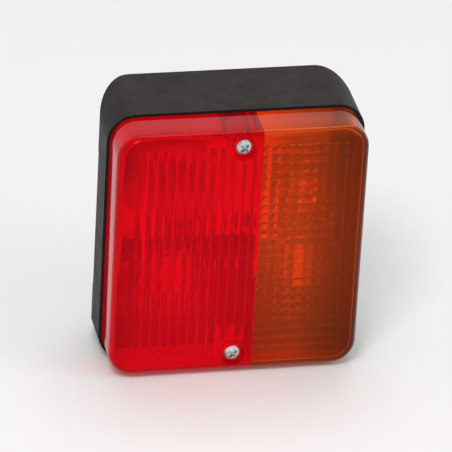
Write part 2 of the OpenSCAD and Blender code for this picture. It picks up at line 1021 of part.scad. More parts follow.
module mounting_bolt_right() {
    mounting_bolt(bolt_span / 2);
}

// Rubber grommet with a groove that grips the rear wall
module cable_grommet() {
    color([0.07, 0.07, 0.07])
        translate([grommet_x, 0, grommet_z])
            rotate([-90, 0, 0])
                rotate_extrude()
                    grommet_section();
}

// Half section of the grommet: inner flange, neck and flush outer flange
module grommet_section() {
    bore_r = cable_d / 2;
    inner_t = 1.8;
    translate([bore_r, y_floor - inner_t])
        square([grommet_flange_r - 0.3 - bore_r, inner_t]);
    translate([bore_r, y_floor])
        square([grommet_neck_r - bore_r, -y_floor]);
    translate([bore_r, -recess_d])
        square([grommet_flange_r - bore_r, recess_d]);
}

base_housing();
lens_red();
lens_amber();
plate_window();
lens_seal();
lens_screw_upper();
lens_screw_lower();
reflector();
indicator_socket();
stop_tail_socket();
indicator_contact();
stop_contact();
tail_contact();
earth_strip();
terminal_screw_indicator();
terminal_screw_stop();
terminal_screw_tail();
terminal_screw_earth();
indicator_bulb_glass();
indicator_bulb_cap();
indicator_bulb_insulator();
indicator_bulb_contact();
indicator_bulb_filament();
stop_tail_bulb_glass();
stop_tail_bulb_cap();
stop_tail_bulb_insulator();
stop_tail_bulb_contacts();
stop_tail_bulb_filaments();
mounting_bolt_left();
mounting_bolt_right();
cable_grommet();
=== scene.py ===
import math

import bmesh
import bpy
from mathutils import Matrix, Vector


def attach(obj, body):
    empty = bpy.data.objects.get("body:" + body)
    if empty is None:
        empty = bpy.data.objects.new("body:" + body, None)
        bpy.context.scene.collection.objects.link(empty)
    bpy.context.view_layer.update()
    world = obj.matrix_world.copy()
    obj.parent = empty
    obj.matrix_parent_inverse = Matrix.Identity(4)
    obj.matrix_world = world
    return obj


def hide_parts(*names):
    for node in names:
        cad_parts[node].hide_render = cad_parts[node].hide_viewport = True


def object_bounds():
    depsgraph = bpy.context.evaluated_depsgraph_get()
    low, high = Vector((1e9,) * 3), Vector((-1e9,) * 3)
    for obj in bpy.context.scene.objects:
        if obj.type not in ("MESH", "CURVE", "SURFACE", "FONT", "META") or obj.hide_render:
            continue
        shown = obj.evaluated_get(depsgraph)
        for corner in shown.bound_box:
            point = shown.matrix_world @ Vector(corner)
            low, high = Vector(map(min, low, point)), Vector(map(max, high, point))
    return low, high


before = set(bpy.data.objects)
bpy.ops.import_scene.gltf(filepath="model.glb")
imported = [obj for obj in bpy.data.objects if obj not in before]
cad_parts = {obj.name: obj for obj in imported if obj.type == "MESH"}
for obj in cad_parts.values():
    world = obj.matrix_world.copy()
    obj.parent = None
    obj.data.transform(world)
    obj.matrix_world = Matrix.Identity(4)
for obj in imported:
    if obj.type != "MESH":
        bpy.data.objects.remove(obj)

# Rear combination lamp, dressed for rendering. The front faces -Y, +Z is up and the mounting face
# is at y = 0. The scene is in metres. Values and arguments that end in _MM or _mm, and the sizes
# that the mesh code below works with, are in millimetres.

cad_low, cad_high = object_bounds()
MM = 0.001
BACKWARD = (0, 1, 0)
UPWARD = (0, 0, 1)

# Bulbs, as in the part's source
STOP_X_MM = -21
INDICATOR_X_MM = 29
BULB_Y_MM = -25
LIGHT_Z_MM = 14
CONTACT_Z_MM = -25
GLASS_R_MM = 13
NECK_R_MM = 6.9
NECK_Z_MM = CONTACT_Z_MM + 9
STEM_TOP_Z_MM = CONTACT_Z_MM + 21
COIL_OFFSET_MM = 1.3
COIL_DROP_MM = 4

# Lens screws and mounting bolts, as in the part's source
SCREW_Z_MM = 44.25
SCREW_SEAT_Y_MM = -46.4
SCREW_TIP_Y_MM = -13
BOLT_X_MM = 22.5
BOLT_R_MM = 2.5
BOLT_OUT_MM = 20
BOLT_SEAT_Y_MM = -3.0

# Lens, as in the part's source
LENS_HALF_W_MM = 47.65
LENS_HALF_H_MM = 51.15
LENS_CORNER_R_MM = 9.65
LENS_EDGE_R_MM = 3.6
LENS_WALL_MM = 2.2
LENS_FRONT_Y_MM = -50
LENS_REAR_Y_MM = -31.4
LENS_WALL_RINGS_Y_MM = (LENS_REAR_Y_MM, -36.5, -41.5)
SEAM_X_MM = 7
SLEEVE_REAR_Y_MM = -32.5
SLEEVE_R_MM = 4.0
SLEEVE_COLLAR_R_MM = 5.6
SLEEVE_COLLAR_Y_MM = -43.4
POCKET_R_MM = 4.4
SCREW_HOLE_R_MM = 2.2

# Moulded optics on the inside of the lens
OPTIC_HALF_W_MM = 41.15
OPTIC_HALF_H_MM = 44.65
FLUTE_PITCH_MM = 3.6
FLUTE_DEPTH_MM = 0.8
PILLOW_DEPTH_MM = 0.42
RED_FLUTES = 13
RED_ROWS = 5
AMBER_ROWS = 25

# Surroundings, in metres, watts and degrees. Each light has its name, place, size and power.
FLOOR_HALF = 6.0
FLOOR_FADE = (0.4, 1.5)
WORLD_LIGHT = 0.52
LIGHT_TARGET = (0, -0.02, 0)
STUDIO_LIGHTS = [("key", (-0.45, -0.85, 1.25), 0.45, 9.0),
                 ("fill", (1.1, -0.7, 0.55), 0.7, 3.6),
                 ("top", (0.1, 0.35, 1.3), 0.6, 3.8)]
CAMERA_AZIMUTH = -13.0
CAMERA_ELEVATION = 29.5
CAMERA_DISTANCE = 1.85
CAMERA_LENS = 390.0
CAMERA_ROLL = 3.3
CAMERA_TARGET = (0.0, -0.025, -0.002)


# Shader building blocks

def feed(tree, socket, value):
    """Links a socket into an input, or writes a plain value there."""
    if isinstance(value, bpy.types.NodeSocket):
        tree.links.new(value, socket)
    else:
        socket.default_value = value


def add_node(tree, kind, sockets=None, **settings):
    """New shader node; sockets maps input names to values or to sockets to link from."""
    made = tree.nodes.new("ShaderNode" + kind)
    for key, value in settings.items():
        setattr(made, key, value)
    for key, value in (sockets or {}).items():
        feed(tree, made.inputs[key], value)
    return made


def calc(tree, operation, a, b=0.0, clamp=False):
    """Output of a Math node."""
    made = add_node(tree, "Math", operation=operation, use_clamp=clamp)
    feed(tree, made.inputs[0], a)
    feed(tree, made.inputs[1], b)
    return made.outputs[0]


def blend_colour(tree, factor, first, second):
    """Output of a Mix node that blends two colours."""
    made = add_node(tree, "Mix", data_type="RGBA")
    feed(tree, made.inputs[0], factor)
    feed(tree, made.inputs[6], first)
    feed(tree, made.inputs[7], second)
    return made.outputs[2]


def span(tree, value, low, high, to_low=0.0, to_high=1.0):
    """Output of a Map Range node, held inside its limits."""
    made = add_node(tree, "MapRange", {"Value": value, "From Min": low, "From Max": high,
                                       "To Min": to_low, "To Max": to_high}, clamp=True)
    return made.outputs[0]


def noise(tree, where, scale, detail=2.0, roughness=0.5):
    """Value of a noise texture at a place."""
    return add_node(tree, "TexNoise", {"Vector": where, "Scale": scale, "Detail": detail,
                                       "Roughness": roughness}).outputs["Fac"]


def stretched(tree, where, scale, turn):
    """Place, stretched and turned, for streaks and rolling lines."""
    return add_node(tree, "Mapping", {"Vector": where, "Scale": scale,
                                      "Rotation": turn}).outputs[0]


SOCKET_KINDS = {"number": "NodeSocketFloat", "colour": "NodeSocketColor"}


def start_group(name, inputs, outputs):
    """Empty shader node group; returns the group, its input node and its output node."""
    group = bpy.data.node_groups.new(name, "ShaderNodeTree")
    for label, kind, value in inputs:
        made = group.interface.new_socket(label, in_out="INPUT", socket_type=SOCKET_KINDS[kind])
        made.default_value = value
    for label, kind in outputs:
        group.interface.new_socket(label, in_out="OUTPUT", socket_type=SOCKET_KINDS[kind])
    return group, group.nodes.new("NodeGroupInput"), group.nodes.new("NodeGroupOutput")


def object_place(tree):
    """Coordinates that stay with the object, in metres."""
    return add_node(tree, "TexCoord").outputs["Object"]


def object_axes_mm(tree):
    """The same coordinates one by one, in millimetres, by axis."""
    place = add_node(tree, "SeparateXYZ", {"Vector": object_place(tree)}).outputs
    return {axis: calc(tree, "MULTIPLY", place[axis], 1.0 / MM) for axis in ("X", "Z")}


# Effects that several materials share

def make_moulded_grain():
    """Fine spark-eroded grain of a moulding, with the slow waves of a cooled wall."""
    group, given, out = start_group(
        "moulded_grain",
        [("Grain Size mm", "number", 0.4), ("Grain Depth", "number", 1.0),
         ("Wave Depth", "number", 0.3)],
        [("Height", "number")])
    where = object_place(group)
    grain_scale = calc(group, "DIVIDE", 1000.0, given.outputs["Grain Size mm"])
    grain = noise(group, where, grain_scale, detail=3.0, roughness=0.6)
    pits = add_node(group, "TexVoronoi", {"Vector": where, "Scale": grain_scale},
                    feature="SMOOTH_F1").outputs["Distance"]
    waves = noise(group, where, 55.0, detail=1.0)
    both = calc(group, "ADD", calc(group, "MULTIPLY", grain, 0.6),
                calc(group, "MULTIPLY", pits, 0.4))
    grain_part = calc(group, "MULTIPLY", both, given.outputs["Grain Depth"])
    wave_part = calc(group, "MULTIPLY", waves, given.outputs["Wave Depth"])
    group.links.new(calc(group, "ADD", grain_part, wave_part), out.inputs["Height"])
    return group


def make_tone_drift():
    """Slow drift between two tones of one colour, with a finer mottle on top."""
    group, given, out = start_group(
        "tone_drift",
        [("Tone A", "colour", (0.5, 0.5, 0.5, 1)), ("Tone B", "colour", (0.4, 0.4, 0.4, 1)),
         ("Patch Size mm", "number", 18.0)],
        [("Color", "colour")])
    where = object_place(group)
    scale = calc(group, "DIVIDE", 1000.0, given.outputs["Patch Size mm"])
    slow = noise(group, where, scale, detail=3.0, roughness=0.55)
    fine = noise(group, where, calc(group, "MULTIPLY", scale, 9.0))
    share = calc(group, "ADD", calc(group, "MULTIPLY", slow, 0.75),
                 calc(group, "MULTIPLY", fine, 0.25))
    colour = blend_colour(group, span(group, share, 0.35, 0.65), given.outputs["Tone A"],
                          given.outputs["Tone B"])
    group.links.new(colour, out.inputs["Color"])
    return group


def make_handled_gloss():
    """Roughness with smudges from handling and hairline scratches in two directions."""
    group, given, out = start_group(
        "handled_gloss",
        [("Roughness", "number", 0.3), ("Smudge", "number", 0.1), ("Scratch", "number", 0.1)],
        [("Roughness", "number"), ("Height", "number")])
    where = object_place(group)
    smudge = span(group, noise(group, where, 70.0, detail=4.0, roughness=0.65), 0.45, 0.75)
    lines = []
    for turn in [(0.3, 0.5, 0.2), (1.1, -0.4, 0.9)]:
        streaks = noise(group, stretched(group, where, (900.0, 60.0, 3200.0), turn), 1.0,
                        detail=1.0)
        lines.append(span(group, streaks, 0.70, 0.76))
    scratch = calc(group, "MAXIMUM", lines[0], lines[1])
    rough = calc(group, "ADD", given.outputs["Roughness"],
                 calc(group, "MULTIPLY", smudge, given.outputs["Smudge"]))
    rough = calc(group, "ADD", rough,
                 calc(group, "MULTIPLY", scratch, given.outputs["Scratch"]), clamp=True)
    group.links.new(rough, out.inputs["Roughness"])
    group.links.new(calc(group, "MULTIPLY", scratch, -1.0), out.inputs["Height"])
    return group


def make_settled_dust():
    """Thin dust that lies on faces that look up and thins out into patches."""
    group, given, out = start_group("settled_dust", [("Amount", "number", 0.2)],
                                    [("Mask", "number")])
    where = object_place(group)
    normal = add_node(group, "NewGeometry").outputs["Normal"]
    upward = add_node(group, "SeparateXYZ", {"Vector": normal}).outputs["Z"]
    lying = span(group, upward, 0.25, 0.95)
    patches = span(group, noise(group, where, 140.0, detail=5.0, roughness=0.7), 0.35, 0.7)
    mask = calc(group, "MULTIPLY", calc(group, "MULTIPLY", lying, patches),
                given.outputs["Amount"])
    group.links.new(mask, out.inputs["Mask"])
    return group


def make_drawn_metal():
    """Faint rolling lines, cloudy plating and small pits of sheet and turned metal."""
    group, given, out = start_group(
        "drawn_metal",
        [("Bright", "colour", (0.8, 0.8, 0.8, 1)), ("Dull", "colour", (0.5, 0.5, 0.5, 1)),
         ("Roughness", "number", 0.3)],
        [("Color", "colour"), ("Roughness", "number"), ("Height", "number")])
    where = object_place(group)
    clouds = noise(group, where, 190.0, detail=5.0, roughness=0.65)
    lines = noise(group, stretched(group, where, (350.0, 4200.0, 350.0), (0.0, 0.0, 0.35)), 1.0)
    pits = span(group, noise(group, where, 2600.0), 0.62, 0.72)
    stain = calc(group, "ADD", span(group, clouds, 0.42, 0.72), calc(group, "MULTIPLY", pits, 0.5),
                 clamp=True)
    colour = blend_colour(group, stain, given.outputs["Bright"], given.outputs["Dull"])
    rough = calc(group, "ADD", given.outputs["Roughness"], calc(group, "MULTIPLY", stain, 0.2))
    rough = calc(group, "ADD", rough, calc(group, "MULTIPLY", lines, 0.1), clamp=True)
    height = calc(group, "SUBTRACT", calc(group, "MULTIPLY", lines, 0.5), pits)
    for label, value in [("Color", colour), ("Roughness", rough), ("Height", height)]:
        group.links.new(value, out.inputs[label])
    return group


def make_painted_glow():
    """Painted glow: emission for daylight that comes back out of the lens, strongest in one place
    and fading round it.
    """
    group, given, out = start_group(
        "painted_glow",
        [("Centre X mm", "number", 0.0), ("Centre Z mm", "number", 0.0),
         ("Reach mm", "number", 30.0),
         ("Edge", "colour", (0.1, 0.1, 0.1, 1)), ("Middle", "colour", (1, 1, 1, 1))],
        [("Color", "colour")])
    squares = []
    for axis, place in object_axes_mm(group).items():
        along = calc(group, "SUBTRACT", place, given.outputs[f"Centre {axis} mm"])
        squares.append(calc(group, "MULTIPLY", along, along))
    far = calc(group, "SQRT", calc(group, "ADD", squares[0], squares[1]))
    share = span(group, calc(group, "DIVIDE", far, given.outputs["Reach mm"]), 0.0, 1.0, 1.0, 0.0)
    colour = blend_colour(group, calc(group, "POWER", share, 1.6), given.outputs["Edge"],
                          given.outputs["Middle"])
    group.links.new(colour, out.inputs["Color"])
    return group


def make_wall_shade_and_seam():
    """Bands along the side walls, along the top and bottom walls and along the seam of the lens.

    The side and crown bands are painted shade: the walls, looked at on edge through more plastic
    than the front is, are drawn darker. The two colours run into each other at the seam.
    """
    group, given, out = start_group(
        "wall_shade_and_seam",
        [("Side Band mm", "number", 7.0), ("Crown Band mm", "number", 4.0),
         ("Seam Band mm", "number", 12.0)],
        [("Side", "number"), ("Crown", "number"), ("Seam", "number")])
    place = object_axes_mm(group)
    gaps = {"Seam": calc(group, "ABSOLUTE", calc(group, "SUBTRACT", place["X"], SEAM_X_MM))}
    for axis, half_mm, label in [("X", LENS_HALF_W_MM, "Side"), ("Z", LENS_HALF_H_MM, "Crown")]:
        gaps[label] = calc(group, "SUBTRACT", half_mm, calc(group, "ABSOLUTE", place[axis]))
    for label, gap in gaps.items():
        band = calc(group, "DIVIDE", gap, given.outputs[f"{label} Band mm"])
        group.links.new(span(group, band, 0.0, 1.0, 1.0, 0.0), out.inputs[label])
    return group


EFFECTS = {"grain": make_moulded_grain(), "tone": make_tone_drift(),
           "gloss": make_handled_gloss(), "dust": make_settled_dust(),
           "metal": make_drawn_metal(), "glow": make_painted_glow(), "wall": make_wall_shade_and_seam()}


def effect(tree, name, values):
    """Places one shared effect in a material and returns its outputs."""
    made = tree.nodes.new("ShaderNodeGroup")
    made.node_tree = EFFECTS[name]
    for key, value in values.items():
        feed(tree, made.inputs[key], value)
    return made.outputs


def drifting_colour(tree, tones, patch_mm):
    """Colour that drifts between two tones in patches of a size."""
    return effect(tree, "tone", {"Tone A": tones[0], "Tone B": tones[1],
                                 "Patch Size mm": patch_mm})["Color"]


def worn_gloss(tree, roughness, smudge, scratch):
    """Roughness and height of a handled surface."""
    return effect(tree, "gloss", {"Roughness": roughness, "Smudge": smudge, "Scratch": scratch})


def grain_height(tree, size_mm, grain_depth, wave_depth):
    """Height of a moulding's grain and waves."""
    return effect(tree, "grain", {"Grain Size mm": size_mm, "Grain Depth": grain_depth,
                                  "Wave Depth": wave_depth})["Height"]


def with_scratches(tree, height, gloss, share):
    """Height with a share of the scratches cut into it."""
    return calc(tree, "ADD", height, calc(tree, "MULTIPLY", gloss["Height"], share))


def bump(tree, height, distance):
    """Normal from a height, with the height's full depth in metres."""
    return add_node(tree, "Bump", {"Height": height, "Distance": distance,
                                   "Strength": 1.0}).outputs["Normal"]


def start_material(name):
    """Material with a Principled BSDF joined to its output; returns all three."""
    material = bpy.data.materials.new(name)
    material.use_nodes = True
    tree = material.node_tree
    tree.nodes.clear()
    shader = add_node(tree, "BsdfPrincipled")
    out = add_node(tree, "OutputMaterial")
    tree.links.new(shader.outputs["BSDF"], out.inputs["Surface"])
    return material, tree, shader


def set_shader(tree, shader, values):
    """Writes or links the inputs of a shader by name."""
    for key, value in values.items():
        feed(tree, shader.inputs[key], value)


def rgb(red, green, blue):
    """Opaque colour."""
    return (red, green, blue, 1)


# Materials

DUST_COLOUR = rgb(0.33, 0.31, 0.28)
CLEAR_SHADE = rgb(0.93, 0.94, 0.94)


def plastic(name, tones, roughness, grain_mm, grain_depth, dust):
    """Opaque moulded plastic with grain, handled gloss and a little dust."""
    material, tree, shader = start_material(name)
    mask = effect(tree, "dust", {"Amount": dust})["Mask"]
    colour = blend_colour(tree, mask, drifting_colour(tree, tones, patch_mm=22.0), DUST_COLOUR)
    gloss = worn_gloss(tree, roughness, smudge=0.10, scratch=0.08)
    grain = grain_height(tree, grain_mm, grain_depth, wave_depth=1.2)
    height = with_scratches(tree, grain, gloss, share=0.3)
    set_shader(tree, shader, {"Base Color": colour, "Roughness": gloss["Roughness"],
                              "Specular IOR Level": 0.08,
                              "Normal": bump(tree, height, distance=0.00011)})
    return material


def rubber(name, tones):
    """Soft black rubber with a matt skin and a dry bloom."""
    material, tree, shader = start_material(name)
    gloss = worn_gloss(tree, 0.68, smudge=0.14, scratch=0.02)
    grain = grain_height(tree, 0.25, grain_depth=1.0, wave_depth=0.6)
    set_shader(tree, shader, {"Base Color": drifting_colour(tree, tones, patch_mm=4.0),
                              "Roughness": gloss["Roughness"], "Specular IOR Level": 0.35,
                              "Normal": bump(tree, grain, distance=0.00005)})
    return material


def metal(name, bright, dull, roughness, depth=0.00002):
    """Plated, drawn or cast metal."""
    material, tree, shader = start_material(name)
    skin = effect(tree, "metal", {"Bright": bright, "Dull": dull, "Roughness": roughness})
    set_shader(tree, shader, {"Base Color": skin["Color"], "Metallic": 1.0,
                              "Roughness": skin["Roughness"],
                              "Normal": bump(tree, skin["Height"], depth)})
    return material


def clear_glass(name, tint, roughness, ior):
    """Clear glass or acrylic with faint waves and finger marks."""
    material, tree, shader = start_material(name)
    colour = drifting_colour(tree, (tint, CLEAR_SHADE), patch_mm=9.0)
    gloss = worn_gloss(tree, roughness, smudge=0.06, scratch=0.05)
    waves = grain_height(tree, 3.0, grain_depth=0.4, wave_depth=0.8)
    set_shader(tree, shader, {"Base Color": colour, "Roughness": gloss["Roughness"],
                              "IOR": ior, "Transmission Weight": 1.0,
                              "Normal": bump(tree, waves, distance=0.00002)})
    return material


def tinted_lens(name, tones, seam, side, side_band_mm, crown, sheen, clearness, glow_centre_mm,
                glow_edge, glow_middle, glow_reach_mm, glow_strength):
    """Coloured moulded acrylic, with a painted glow for the daylight that the reflector behind it
    gives back, and painted shade along its walls.
    """
    material, tree, shader = start_material(name)
    wall = effect(tree, "wall", {"Side Band mm": side_band_mm, "Crown Band mm": 4.0,
                                 "Seam Band mm": 13.0})
    colour = drifting_colour(tree, tones, patch_mm=30.0)
    # Side and Crown bands darken the walls with painted shade; the Seam band blends the two colours
    for band, band_colour in [("Seam", seam), ("Side", side), ("Crown", crown)]:
        colour = blend_colour(tree, wall[band], colour, band_colour)
    gloss = worn_gloss(tree, 0.07, smudge=0.05, scratch=0.10)
    # Painted glow: an emission that stands in for daylight given back by the reflector
    glow = effect(tree, "glow", {"Centre X mm": glow_centre_mm[0],
                                 "Centre Z mm": glow_centre_mm[1], "Reach mm": glow_reach_mm,
                                 "Edge": glow_edge, "Middle": glow_middle})["Color"]
    grain = grain_height(tree, 1.6, grain_depth=0.15, wave_depth=1.5)
    height = with_scratches(tree, grain, gloss, share=0.12)
    set_shader(tree, shader, {"Base Color": colour, "Roughness": gloss["Roughness"],
                              "IOR": 1.35, "Specular Tint": sheen,
                              "Transmission Weight": clearness,
                              "Emission Color": glow, "Emission Strength": glow_strength,
                              "Normal": bump(tree, height, distance=0.00003)})
    return material


# Side and crown are painted shade on the lens walls; the glow entries set a painted glow, an
# emission
RED_LENS = {
    "tones": (rgb(0.90, 0.001, 0.016), rgb(0.86, 0.001, 0.013)),
    "seam": rgb(0.84, 0.004, 0.012),
    "side": rgb(0.60, 0.001, 0.008), "side_band_mm": 8.0,
    "crown": rgb(0.55, 0.001, 0.006),
    "sheen": rgb(1.0, 0.12, 0.14), "clearness": 0.82,
    "glow_centre_mm": (-21, -22), "glow_reach_mm": 60.0, "glow_strength": 0.24,
    "glow_edge": rgb(0.26, 0.0, 0.006), "glow_middle": rgb(0.60, 0.0, 0.012),
}
AMBER_LENS = {
    "tones": (rgb(0.92, 0.17, 0.018), rgb(0.86, 0.14, 0.014)),
    "seam": rgb(0.90, 0.085, 0.014),
    "side": rgb(0.17, 0.042, 0.008), "side_band_mm": 25.0,
    "crown": rgb(0.84, 0.17, 0.018),
    "sheen": rgb(1.0, 0.35, 0.15), "clearness": 0.9,
    "glow_centre_mm": (10, 4), "glow_reach_mm": 84.0, "glow_strength": 0.17,
    "glow_edge": rgb(0.04, 0.003, 0.0), "glow_middle": rgb(0.75, 0.066, 0.014),
}

# Finishes by the name of the material slot that they fill
FINISH = {
    "housing": plastic("housing_black", (rgb(0.013, 0.0105, 0.0095), rgb(0.019, 0.0155, 0.014)),
                       roughness=0.46, grain_mm=0.8, grain_depth=1.0, dust=0.05),
    "red_lens": tinted_lens("lens_red_acrylic", **RED_LENS),
    "amber_lens": tinted_lens("lens_amber_acrylic", **AMBER_LENS),
    "window": clear_glass("window_acrylic", rgb(0.97, 0.98, 0.98), 0.06, ior=1.49),
    "seal_rubber": rubber("seal_black_rubber",
                          (rgb(0.012, 0.012, 0.012), rgb(0.030, 0.029, 0.028))),
    "lens_screws": metal("screw_zinc", rgb(0.66, 0.67, 0.69), rgb(0.40, 0.40, 0.41), 0.20),
    "reflector": metal("reflector_metallised", rgb(0.91, 0.91, 0.92), rgb(0.87, 0.87, 0.88),
                       roughness=0.05, depth=0.000005),
    "sockets": metal("socket_nickel", rgb(0.76, 0.74, 0.68), rgb(0.45, 0.43, 0.38), 0.26),
    "contacts": metal("contact_brass", rgb(0.83, 0.62, 0.27), rgb(0.48, 0.32, 0.13), 0.27),
    "earth_steel": metal("earth_strip_steel", rgb(0.70, 0.71, 0.72), rgb(0.40, 0.40, 0.41), 0.30),
    "terminal_screws": metal("terminal_yellow_zinc", rgb(0.78, 0.68, 0.44),
                             rgb(0.50, 0.42, 0.25), 0.26),
    "bulb_glass": clear_glass("bulb_blown_glass", rgb(0.98, 0.985, 0.98), 0.01, ior=1.5),
    "bulb_caps": metal("bulb_cap_nickel_brass", rgb(0.80, 0.74, 0.56), rgb(0.50, 0.43, 0.28), 0.25),
    "bulb_insulators": plastic("bulb_foot_black_glass",
                               (rgb(0.010, 0.010, 0.012), rgb(0.020, 0.018, 0.022)),
                               roughness=0.12, grain_mm=1.2, grain_depth=0.5, dust=0.0),
    "solder": metal("solder_tin", rgb(0.72, 0.72, 0.73), rgb(0.45, 0.45, 0.46), 0.38,
                    depth=0.00005),
    "filaments": metal("filament_tungsten", rgb(0.50, 0.49, 0.48), rgb(0.26, 0.25, 0.25), 0.35),
    "bolts": metal("bolt_zinc", rgb(0.74, 0.75, 0.74), rgb(0.46, 0.46, 0.44), 0.27),
    "grommet_rubber": rubber("grommet_black_rubber",
                             (rgb(0.014, 0.014, 0.014), rgb(0.028, 0.027, 0.027))),
}


# Mesh building blocks

def object_from(bm, name):
    """New object in the scene, made of a bmesh that is used up."""
    mesh = bpy.data.meshes.new(name)
    bm.to_mesh(mesh)
    bm.free()
    made = bpy.data.objects.new(name, mesh)
    bpy.context.scene.collection.objects.link(made)
    return made


def face_outwards(bm):
    """Turns the faces of every closed shell outwards."""
    bmesh.ops.recalc_face_normals(bm, faces=bm.faces)


def make_piece(name, bm, finish, stands_for=(), hollow=False):
    """Turns a bmesh into a shown piece with its finish, riding on the lamp.

    A hollow piece keeps its inner faces turned inwards.
    """
    if not hollow:
        face_outwards(bm)
    piece = object_from(bm, name)
    piece.data.materials.append(FINISH[finish])
    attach(piece, "root")
    if stands_for:
        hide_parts(*stands_for)
    return piece


def smooth(piece, angle_deg):
    """Shades a piece smooth, with edges sharper than the angle kept sharp."""
    mesh = piece.data
    mesh.shade_smooth()
    mesh.set_sharp_from_angle(angle=math.radians(angle_deg))


def round_edges(piece, width_mm, segments, angle_deg):
    """Small rounding on every edge sharper than the angle."""
    made = piece.modifiers.new("round_edges", "BEVEL")
    made.width = width_mm * MM
    made.segments = segments
    made.limit_method = "ANGLE"
    made.angle_limit = math.radians(angle_deg)
    made.harden_normals = True


def bake_modifiers(piece):
    """Writes a piece's modifiers into its mesh."""
    bpy.context.view_layer.update()
    graph = bpy.context.evaluated_depsgraph_get()
    baked = bpy.data.meshes.new_from_object(piece.evaluated_get(graph))
    piece.modifiers.clear()
    piece.data = baked


def combine(piece, bm, operation):
    """Joins the solid in a bmesh to a piece or cuts it out of it."""
    face_outwards(bm)
    tool = object_from(bm, "tool")
    step = piece.modifiers.new("combine", "BOOLEAN")
    step.object, step.operation, step.solver, step.use_self = tool, operation, "EXACT", True
    bake_modifiers(piece)
    bpy.data.objects.remove(tool)


def weld_slivers(piece, reach_mm=0.002):
    """Joins vertices that a cut left almost in one place and drops the faces between them."""
    bm = bmesh.new()
    bm.from_mesh(piece.data)
    bmesh.ops.remove_doubles(bm, verts=bm.verts, dist=reach_mm * MM)
    bmesh.ops.dissolve_degenerate(bm, edges=bm.edges, dist=reach_mm * MM)
    bm.to_mesh(piece.data)
    bm.free()


def add_hollow(bm, hollow):
    """Adds a closed bmesh inside this one, turned inside out, as the wall's inner face."""
    face_outwards(bm)
    face_outwards(hollow)
    bmesh.ops.reverse_faces(hollow, faces=hollow.faces)
    mesh = bpy.data.meshes.new("hollow")
    hollow.to_mesh(mesh)
    hollow.free()
    bm.from_mesh(mesh)
    bpy.data.meshes.remove(mesh)


def join_rings(bm, first, second):
    """Faces between two rings of vertices."""
    for i in range(len(first)):
        j = (i + 1) % len(first)
        bm.faces.new((first[i], first[j], second[j], second[i]))


def ring_grid(bm, rings):
    """Skins a list of rings, each a list of points of the same count, and caps the ends."""
    rows = [[bm.verts.new(p) for p in ring] for ring in rings]
    for low, high in zip(rows, rows[1:]):
        join_rings(bm, low, high)
    bm.faces.new(rows[0][::-1])
    bm.faces.new(rows[-1])


def square_to(axis):
    """Two unit directions square to an axis and to each other."""
    side = axis.orthogonal().normalized()
    return side, axis.cross(side)


def circle_ring(origin, axis, radius, along, steps=36):
    """Ring of points round an axis; radius is a length, or gives one from a share of the turn."""
    origin, axis = Vector(origin), Vector(axis)
    side, other = square_to(axis)
    ring = []
    for k in range(steps):
        a = 2 * math.pi * k / steps
        here = radius(k / steps) if callable(radius) else radius
        ring.append((origin + axis * along + (side * math.cos(a) + other * math.sin(a)) * here) * MM)
    return ring


def hexagon_ring(origin, across, along):
    """Six points of a hexagon across the flats, round an axis that runs backward."""
    origin, axis, up = Vector(origin), Vector(BACKWARD), Vector(UPWARD)
    side = up.cross(axis)
    radius = across / math.sqrt(3)
    return [(origin + axis * along + (side * math.cos(a) + up * math.sin(a)) * radius) * MM
            for a in (math.radians(60 * k) for k in range(6))]


def turned(profile, origin, axis, steps=64):
    """Bmesh turned about an axis; profile holds (radius, axial) points.

    A radius of zero closes the end.
    """
    bm = bmesh.new()
    rows = []
    for radius, axial in profile:
        if radius < 1e-6:
            rows.append([bm.verts.new((Vector(origin) + Vector(axis) * axial) * MM)])
        else:
            rows.append([bm.verts.new(p) for p in circle_ring(origin, axis, radius, axial, steps)])
    for low, high in zip(rows, rows[1:]):
        for i in range(steps):
            j = (i + 1) % steps
            corners = [low[i % len(low)], low[j % len(low)], high[j % len(high)],
                       high[i % len(high)]]
            unique = list(dict.fromkeys(corners))
            if len(unique) > 2:
                bm.faces.new(unique)
    return bm


def arc(centre, radius, start_deg, end_deg, steps):
    """Points of an arc in (radius, axial) form."""
    angles = [math.radians(start_deg + (end_deg - start_deg) * i / steps)
              for i in range(steps + 1)]
    return [(centre[0] + radius * math.cos(a), centre[1] + radius * math.sin(a)) for a in angles]


def swept_wire(bm, points_mm, radius_mm, sides):
    """Round wire along points, with closed ends."""
    points = [Vector(p) * MM for p in points_mm]
    side = None
    rings = []
    for i, point in enumerate(points):
        ahead = points[min(i + 1, len(points) - 1)] - points[max(i - 1, 0)]
        ahead.normalize()
        if side is None:
            side = ahead.orthogonal().normalized()
        side = (side - ahead * side.dot(ahead)).normalized()
        other = ahead.cross(side)
        rings.append([point + (side * math.cos(a) + other * math.sin(a)) * radius_mm * MM
                      for a in (2 * math.pi * k / sides for k in range(sides))])
    ring_grid(bm, rings)


def thread_rings(origin, length, crest_r, depth, pitch, runout, per_turn=8):
    """Rings of a helical thread that runs backward and fades out near both ends."""
    steepness, flat, faded_share = 2.4, 0.7, 0.6
    count = int(length / pitch * per_turn)
    rings = []
    for i in range(count + 1):
        along = length * i / count
        fade = min(1.0, along / runout, (length - along) / runout)

        def radius(turn):
            phase = (along / pitch - turn) % 1.0
            tooth = min(1.0, max(0.0, steepness * abs(2 * phase - 1) - flat))
            return crest_r - depth * (1 - tooth) * fade - depth * faded_share * (1 - fade)

        rings.append(circle_ring(origin, BACKWARD, radius, along))
    return rings


# Fasteners

